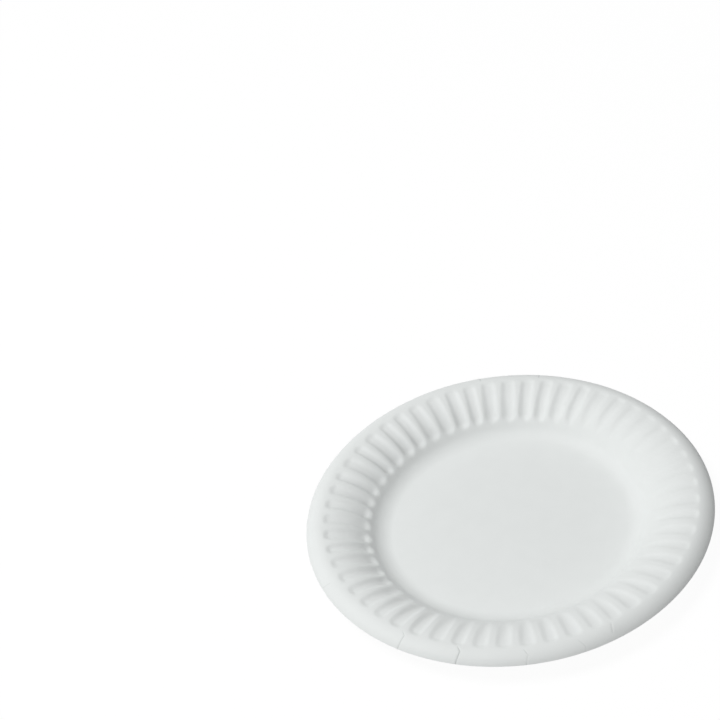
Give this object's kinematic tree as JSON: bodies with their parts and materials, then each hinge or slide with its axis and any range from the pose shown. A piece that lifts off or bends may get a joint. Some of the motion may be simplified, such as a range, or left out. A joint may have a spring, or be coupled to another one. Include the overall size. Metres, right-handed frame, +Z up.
{
  "type": "paper plate",
  "caption": "Small round disposable plate pressed from one sheet of white board, with a flat floor, a fluted sloping rim and a rolled-over lip.",
  "frame": {"origin": "centre of the plate's flat underside, on the surface that it stands on", "axes": "+Z up out of the dish; +X passes through the middle of one flute; the plate repeats every flute about Z"},
  "size_m": [0.15, 0.15, 0.0116],
  "materials": {
    "white_board": "matt, lightly coated"
  },
  "bodies": {
    "root": {"paper_plate": "white_board"}
  },
  "joints": []
}
